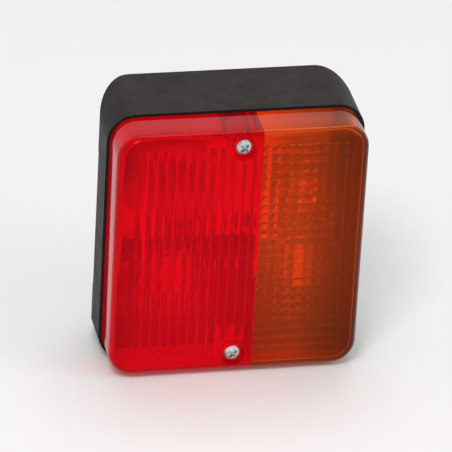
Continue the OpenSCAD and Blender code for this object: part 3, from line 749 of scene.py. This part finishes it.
def build_bolt(label, x_mm):
    """Mounting bolt: chamfered hexagon head, shoulder in the wall and a rolled thread outside."""
    origin = (x_mm, 0, 0)
    across, head_h, chamfer = 8.0, 3.5, 0.4
    front_y = BOLT_SEAT_Y_MM - head_h
    head = bmesh.new()
    ring_grid(head, [hexagon_ring(origin, across - 2 * chamfer, front_y),
                     hexagon_ring(origin, across, front_y + chamfer),
                     hexagon_ring(origin, across, BOLT_SEAT_Y_MM)])
    made = make_piece(f"mounting_bolt_{label}_head", head, "bolts", [f"mounting_bolt_{label}"])
    round_edges(made, width_mm=0.12, segments=2, angle_deg=20)
    shoulder_r, groove_r = 2.8, 2.2
    thread_depth, pitch, runout = 0.38, 0.8, 0.7
    inside_head, short_of_wall = 0.05, 0.02
    rings = [circle_ring(origin, BACKWARD, shoulder_r, BOLT_SEAT_Y_MM - inside_head),
             circle_ring(origin, BACKWARD, shoulder_r, -short_of_wall),
             circle_ring(origin, BACKWARD, groove_r, 0.0)]
    rings += thread_rings(origin, BOLT_OUT_MM, BOLT_R_MM, thread_depth, pitch, runout)
    shank = bmesh.new()
    ring_grid(shank, rings)
    smooth(make_piece(f"mounting_bolt_{label}_shank", shank, "bolts"), 50)


def cut_cross(head, origin, head_h):
    """Cuts a tapered cross recess into a screw head."""
    centre_y = origin[1] - head_h
    # Depth, half length and half width of an arm in front of the head and at its floor
    sections = [(centre_y - 0.5, 2.35, 0.52), (centre_y + 1.5, 1.2, 0.36)]
    cutter = bmesh.new()
    for turn_deg in (45, 135):
        a = math.radians(turn_deg)
        along = Vector((math.cos(a), 0, math.sin(a)))
        across = Vector((-math.sin(a), 0, math.cos(a)))
        rings = []
        for y, half_l, half_w in sections:
            centre = Vector((origin[0], y, origin[2]))
            rings.append([(centre + along * sl * half_l + across * sw * half_w) * MM
                          for sl, sw in [(-1, -1), (1, -1), (1, 1), (-1, 1)]])
        ring_grid(cutter, rings)
    combine(head, cutter, "DIFFERENCE")
    weld_slivers(head)


def build_lens_screw(label, side):
    """Lens screw: domed head with a cross recess, and a coarse thread for plastic."""
    origin = (0, SCREW_SEAT_Y_MM, side * SCREW_Z_MM)
    head_h, head_r, rim_h, dome_r, dome_half_deg = 2.6, 3.5, 1.35, 6.3, 33.0
    neck_r, bevel, least_gap = 1.9, 0.15, 0.05
    dome = arc((0, dome_r - head_h), dome_r, dome_half_deg - 90, -90, 8)
    profile = [(0, 0.0), (neck_r, 0.0), (head_r - bevel, 0.0), (head_r, -bevel), (head_r, -rim_h)]
    profile += [(r, z) for r, z in dome if z < -rim_h - least_gap]
    profile += [(0, -head_h)]
    head = make_piece(f"lens_screw_{label}_head", turned(profile, origin, BACKWARD, 48),
                      "lens_screws", [f"lens_screw_{label}"])
    cut_cross(head, origin, head_h)
    smooth(head, 30)
    length = SCREW_TIP_Y_MM - SCREW_SEAT_Y_MM
    point, crest_r, thread_depth, pitch, runout = 2.6, 1.95, 0.5, 1.4, 1.0
    inside_head, taper_r, taper_start, tip_r = 0.05, 1.2, 0.4, 0.15
    rings = [circle_ring(origin, BACKWARD, neck_r, -inside_head)]
    rings += thread_rings(origin, length - point, crest_r, thread_depth, pitch, runout)
    rings += [circle_ring(origin, BACKWARD, taper_r, length - point + taper_start),
              circle_ring(origin, BACKWARD, tip_r, length)]
    shank = bmesh.new()
    ring_grid(shank, rings)
    smooth(make_piece(f"lens_screw_{label}_shank", shank, "lens_screws"), 50)


# Bulbs

def glass_profile(shrink):
    """Half section of the bulb glass, from the neck to the top, drawn in by shrink."""
    ball_r = GLASS_R_MM - shrink
    neck_r = NECK_R_MM - shrink
    fillet = 5.0 + shrink
    drop = math.sqrt((ball_r + fillet) ** 2 - (neck_r + fillet) ** 2)
    centre = (neck_r + fillet, LIGHT_Z_MM - drop)
    meet_deg = math.degrees(math.atan2(drop, -(neck_r + fillet)))
    low = [(neck_r, NECK_Z_MM + shrink), (neck_r, (NECK_Z_MM + centre[1]) / 2)]
    neck = arc(centre, fillet, 180, meet_deg, 8)
    ball = arc((0, LIGHT_Z_MM), ball_r, meet_deg - 180, 90, 28)
    return [(0, NECK_Z_MM + shrink)] + low + neck + ball[1:-1] + [(0, LIGHT_Z_MM + ball_r)]


def build_bulb_glass(label, x_mm):
    """Blown glass with a filleted neck, and the pressed stem inside it."""
    origin = (x_mm, BULB_Y_MM, 0)
    wall = 0.55
    glass = turned(glass_profile(0.0), origin, UPWARD)
    add_hollow(glass, turned(glass_profile(wall), origin, UPWARD))
    shell = make_piece(f"{label}_bulb_blown_glass", glass, "bulb_glass", [f"{label}_bulb_glass"],
                       hollow=True)
    smooth(shell, 50)
    # Height and half width and depth of the stem, which is round below and pressed flat above
    sections = [(NECK_Z_MM + 0.6, 4.4, 4.4), (NECK_Z_MM + 1.6, 3.3, 3.3),
                (NECK_Z_MM + 4.5, 2.9, 2.9), (NECK_Z_MM + 7.5, 3.3, 1.5),
                (STEM_TOP_Z_MM - 0.6, 3.4, 1.0), (STEM_TOP_Z_MM, 3.1, 0.7)]
    rings = []
    for z, wide, deep in sections:
        rings.append([Vector((x_mm + wide * math.cos(a), BULB_Y_MM + deep * math.sin(a), z)) * MM
                      for a in (2 * math.pi * k / 32 for k in range(32))])
    stem = bmesh.new()
    ring_grid(stem, rings)
    smooth(make_piece(f"{label}_bulb_stem", stem, "bulb_glass"), 60)


def build_filaments(label, x_mm, coils, node):
    """Coiled tungsten wires on nickel supports; coils holds each one's y and z."""
    half, turns, coil_r, wire_r, support_r = 2.9, 11, 0.42, 0.11, 0.25
    steps = turns * 14
    bm = bmesh.new()
    for y_mm, z_mm in coils:
        points = []
        for i in range(steps + 1):
            a = 2 * math.pi * turns * i / steps
            points.append((x_mm - half + 2 * half * i / steps, y_mm + coil_r * math.cos(a),
                           z_mm + coil_r * math.sin(a)))
        swept_wire(bm, points, wire_r, 6)
        for sign in (-1, 1):
            # From the stem, spread apart, up to the end of the coil
            tip = x_mm + sign * half
            support = [(x_mm + sign * 1.9, y_mm * 0.3 + BULB_Y_MM * 0.7, STEM_TOP_Z_MM - 3.0),
                       (x_mm + sign * 2.1, y_mm * 0.5 + BULB_Y_MM * 0.5, STEM_TOP_Z_MM),
                       (x_mm + sign * 2.7, y_mm, STEM_TOP_Z_MM + 4),
                       (tip, y_mm, z_mm - 1.2), (tip, y_mm + coil_r, z_mm + 0.1)]
            swept_wire(bm, support, support_r, 8)
    smooth(make_piece(f"{label}_bulb_coils", bm, "filaments", [node]), 60)


# Lens

def lens_ring(bm, inset, y_mm, corner_steps=12):
    """Vertices round the outline of the lens, drawn in by inset, at one depth."""
    half_w, half_h = LENS_HALF_W_MM - inset, LENS_HALF_H_MM - inset
    radius = LENS_CORNER_R_MM - inset
    ring = []
    for quarter, (sx, sz) in enumerate([(1, 1), (-1, 1), (-1, -1), (1, -1)]):
        for step in range(corner_steps + 1):
            a = math.radians(90 * (quarter + step / corner_steps))
            ring.append(bm.verts.new(Vector((sx * (half_w - radius) + radius * math.cos(a), y_mm,
                                             sz * (half_h - radius) + radius * math.sin(a))) * MM))
    return ring


def rounded_wall(inset, front_y, edge_r, steps=8):
    """Insets and depths of a wall that turns into the front with a rounding."""
    profile = [(inset, y) for y in LENS_WALL_RINGS_Y_MM]
    for step in range(steps + 1):
        a = math.radians(90 * step / steps)
        profile.append((inset + edge_r * (1 - math.cos(a)), front_y + edge_r * (1 - math.sin(a))))
    return profile


def optic_grid(bm, height, cells_x, cells_z, per_cell=6):
    """Moulded optics on the inside of the front wall; height gives a lift from cell shares.

    The outermost row lies flat on the wall, so that the optics end in a small step.
    """
    step_w = 0.12
    inner_y = LENS_FRONT_Y_MM + LENS_WALL_MM
    x_first, pitch_x = cells_x
    z_first, pitch_z = cells_z
    last_x = int(round((OPTIC_HALF_W_MM - x_first) / pitch_x)) * per_cell
    last_z = int(round((OPTIC_HALF_H_MM - z_first) / pitch_z)) * per_cell
    rows = []
    for k in range(-1, last_z + 2):
        row = []
        for i in range(-1, last_x + 2):
            ci = min(max(i, 0), last_x)
            ck = min(max(k, 0), last_z)
            on_border = i != ci or k != ck
            x = x_first + ci * pitch_x / per_cell + (i - ci) * step_w
            z = z_first + ck * pitch_z / per_cell + (k - ck) * step_w
            lift = 0.0 if on_border else height((ci / per_cell) % 1.0, (ck / per_cell) % 1.0)
            row.append(bm.verts.new(Vector((x, inner_y + lift, z)) * MM))
        rows.append(row)
    for low, high in zip(rows, rows[1:]):
        for i in range(len(low) - 1):
            bm.faces.new((low[i], low[i + 1], high[i + 1], high[i]))
    return (rows[0] + [row[-1] for row in rows[1:-1]] + rows[-1][::-1]
            + [row[0] for row in rows[-2:0:-1]])


def loop_edges(bm, ring):
    """Edges round a closed ring of vertices, made where they are missing."""
    edges = []
    for first, second in zip(ring, ring[1:] + ring[:1]):
        edges.append(bm.edges.get((first, second)) or bm.edges.new((first, second)))
    return edges


def fill_flat(bm, rings):
    """Flat triangles between an outer ring and the rings inside it."""
    edges = [edge for ring in rings for edge in loop_edges(bm, ring)]
    bmesh.ops.triangle_fill(bm, use_beauty=True, use_dissolve=False, edges=edges)


def lens_shell(height, cells_x, cells_z):
    """Closed shell of the whole lens: rounded tray outside, moulded optics inside."""
    bm = bmesh.new()
    outer = [lens_ring(bm, inset, y) for inset, y in
             rounded_wall(0.0, LENS_FRONT_Y_MM, LENS_EDGE_R_MM)]
    inner = [lens_ring(bm, inset, y) for inset, y in
             rounded_wall(LENS_WALL_MM, LENS_FRONT_Y_MM + LENS_WALL_MM,
                          LENS_EDGE_R_MM - LENS_WALL_MM)]
    for rings in (outer, inner):
        for first, second in zip(rings, rings[1:]):
            join_rings(bm, first, second)
    join_rings(bm, outer[0], inner[0])
    bm.faces.new(outer[-1])
    fill_flat(bm, [inner[-1], optic_grid(bm, height, cells_x, cells_z)])
    return bm


def keep_side(bm, sign):
    """Cuts the shell at the seam, keeps one side and closes the cut."""
    geometry = bm.verts[:] + bm.edges[:] + bm.faces[:]
    cut = bmesh.ops.bisect_plane(bm, geom=geometry, dist=1e-7, plane_co=(SEAM_X_MM * MM, 0, 0),
                                 plane_no=(sign, 0, 0), clear_inner=True)["geom_cut"]
    edges = [part for part in cut if isinstance(part, bmesh.types.BMEdge)]
    bmesh.ops.triangle_fill(bm, use_beauty=True, use_dissolve=False, edges=edges,
                            normal=(-sign, 0, 0))


def crown_height(share, depth):
    """Height of a rounded ridge across one cell."""
    return depth * (1 - (2 * share - 1) ** 2)


def flute_height(u, v):
    """Upright flute, the same all along its cell."""
    return crown_height(u, FLUTE_DEPTH_MM)


def pillow_height(u, v):
    """Pillow: a flute each way, one on the other."""
    return crown_height(u, PILLOW_DEPTH_MM) + crown_height(v, PILLOW_DEPTH_MM)


def rod(bm, z_mm, radius, front_y, rear_y):
    """Closed cylinder on the middle line of the lamp, from front to back."""
    ring_grid(bm, [circle_ring((0, 0, z_mm), BACKWARD, radius, y, 40) for y in (front_y, rear_y)])


def build_lens():
    """Red and amber halves of the lens, with their optics, screw sleeves and head pockets."""
    red = lens_shell(flute_height, (SEAM_X_MM - RED_FLUTES * FLUTE_PITCH_MM, FLUTE_PITCH_MM),
                     (-OPTIC_HALF_H_MM, 2 * OPTIC_HALF_H_MM / RED_ROWS))
    keep_side(red, -1)
    red_piece = make_piece("lens_red_moulding", red, "red_lens", ["lens_red"])
    sleeves = bmesh.new()
    bores = bmesh.new()
    # Rods start inside the front wall and bores in front of it, staggered, so that no two faces
    # lie in one plane
    reach, stagger = 1.0, 0.1
    for z_mm in (-SCREW_Z_MM, SCREW_Z_MM):
        rod(sleeves, z_mm, SLEEVE_COLLAR_R_MM, LENS_FRONT_Y_MM + reach, SLEEVE_COLLAR_Y_MM)
        rod(sleeves, z_mm, SLEEVE_R_MM, LENS_FRONT_Y_MM + reach + stagger, SLEEVE_REAR_Y_MM)
        rod(bores, z_mm, POCKET_R_MM, LENS_FRONT_Y_MM - reach, SCREW_SEAT_Y_MM)
        rod(bores, z_mm, SCREW_HOLE_R_MM, LENS_FRONT_Y_MM - reach + stagger,
            SLEEVE_REAR_Y_MM + reach)
    combine(red_piece, sleeves, "UNION")
    combine(red_piece, bores, "DIFFERENCE")
    smooth(red_piece, 40)
    amber = lens_shell(pillow_height, (SEAM_X_MM, FLUTE_PITCH_MM),
                       (-OPTIC_HALF_H_MM, 2 * OPTIC_HALF_H_MM / AMBER_ROWS))
    keep_side(amber, 1)
    amber_piece = make_piece("lens_amber_moulding", amber, "amber_lens", ["lens_amber"])
    smooth(amber_piece, 40)


build_lens()
for label, sign in [("left", -1), ("right", 1)]:
    build_bolt(label, sign * BOLT_X_MM)
for label, sign in [("upper", 1), ("lower", -1)]:
    build_lens_screw(label, sign)
build_bulb_glass("indicator", INDICATOR_X_MM)
build_bulb_glass("stop_tail", STOP_X_MM)
build_filaments("indicator", INDICATOR_X_MM, [(BULB_Y_MM, LIGHT_Z_MM)],
                "indicator_bulb_filament")
build_filaments("stop_tail", STOP_X_MM,
                [(BULB_Y_MM - COIL_OFFSET_MM, LIGHT_Z_MM),
                 (BULB_Y_MM + COIL_OFFSET_MM, LIGHT_Z_MM - COIL_DROP_MM)],
                "stop_tail_bulb_filaments")

# Finishes of the CAD nodes, each in the slot that it fills
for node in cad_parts.values():
    for index, own in enumerate(node.data.materials):
        node.data.materials[index] = FINISH[own.name.split(".")[0]]


# Floor, light and camera

def seen_directly(tree):
    """One where the camera, a gloss or a clear piece looks at the surroundings."""
    path = add_node(tree, "LightPath").outputs
    seen = calc(tree, "MAXIMUM", path["Is Camera Ray"], path["Is Glossy Ray"])
    return calc(tree, "MAXIMUM", seen, path["Is Transmission Ray"])


def build_floor():
    """Large pale floor under the lamp that turns into a white backdrop far from it."""
    bm = bmesh.new()
    for x, y in [(-1, -1), (1, -1), (1, 1), (-1, 1)]:
        bm.verts.new((x * FLOOR_HALF, y * FLOOR_HALF, cad_low.z))
    bm.faces.new(bm.verts)
    floor = object_from(bm, "floor")
    material, tree, shader = start_material("floor_pale")
    set_shader(tree, shader, {"Base Color": rgb(0.90, 0.90, 0.90), "Roughness": 0.9,
                              "Specular IOR Level": 0.0})
    far = add_node(tree, "VectorMath", {0: object_place(tree)}, operation="LENGTH")
    share = calc(tree, "MULTIPLY", span(tree, far.outputs["Value"], *FLOOR_FADE),
                 seen_directly(tree))
    backdrop = add_node(tree, "Emission", {"Color": rgb(1, 1, 1), "Strength": 1.0})
    mixed = add_node(tree, "MixShader", {0: share, 1: shader.outputs["BSDF"],
                                         2: backdrop.outputs["Emission"]})
    tree.links.new(mixed.outputs[0], tree.get_output_node("ALL").inputs["Surface"])
    floor.data.materials.append(material)


def build_world():
    """Soft pale surroundings that show white to the camera, in gloss and through glass."""
    world = bpy.data.worlds.new("studio")
    bpy.context.scene.world = world
    world.use_nodes = True
    tree = world.node_tree
    tree.nodes.clear()
    strength = span(tree, seen_directly(tree), 0.0, 1.0, WORLD_LIGHT, 1.0)
    shade = add_node(tree, "Background", {"Color": rgb(1, 1, 1), "Strength": strength})
    out = add_node(tree, "OutputWorld")
    tree.links.new(shade.outputs[0], out.inputs["Surface"])


def place_in_scene(name, data, place, direction):
    """New light or camera at a place, looking in a direction."""
    made = bpy.data.objects.new(name, data)
    bpy.context.scene.collection.objects.link(made)
    made.location = place
    made.rotation_mode = "QUATERNION"
    made.rotation_quaternion = direction.to_track_quat("-Z", "Y")
    return made


def build_light(name, place, size, watts):
    """Square soft light that looks at the lamp."""
    light = bpy.data.lights.new(name, "AREA")
    light.shape = "SQUARE"
    light.size = size
    light.energy = watts
    place_in_scene(name, light, place, Vector(LIGHT_TARGET) - Vector(place))


def build_camera():
    """Camera above and to the left, turned a little, as the lamp is seen in the photograph."""
    azimuth, elevation = math.radians(CAMERA_AZIMUTH), math.radians(CAMERA_ELEVATION)
    back = Vector((math.sin(azimuth) * math.cos(elevation),
                   -math.cos(azimuth) * math.cos(elevation), math.sin(elevation)))
    data = bpy.data.cameras.new("camera")
    data.sensor_width = 36.0
    data.lens = CAMERA_LENS
    data.clip_start, data.clip_end = 0.01, 50.0
    camera = place_in_scene("camera", data, Vector(CAMERA_TARGET) + back * CAMERA_DISTANCE, -back)
    roll = Matrix.Rotation(math.radians(CAMERA_ROLL), 4, "Z").to_quaternion()
    camera.rotation_quaternion = camera.rotation_quaternion @ roll
    bpy.context.scene.camera = camera


build_floor()
build_world()
for name, place, size, watts in STUDIO_LIGHTS:
    build_light(name, place, size, watts)
build_camera()
bpy.context.scene.view_settings.view_transform = "Standard"
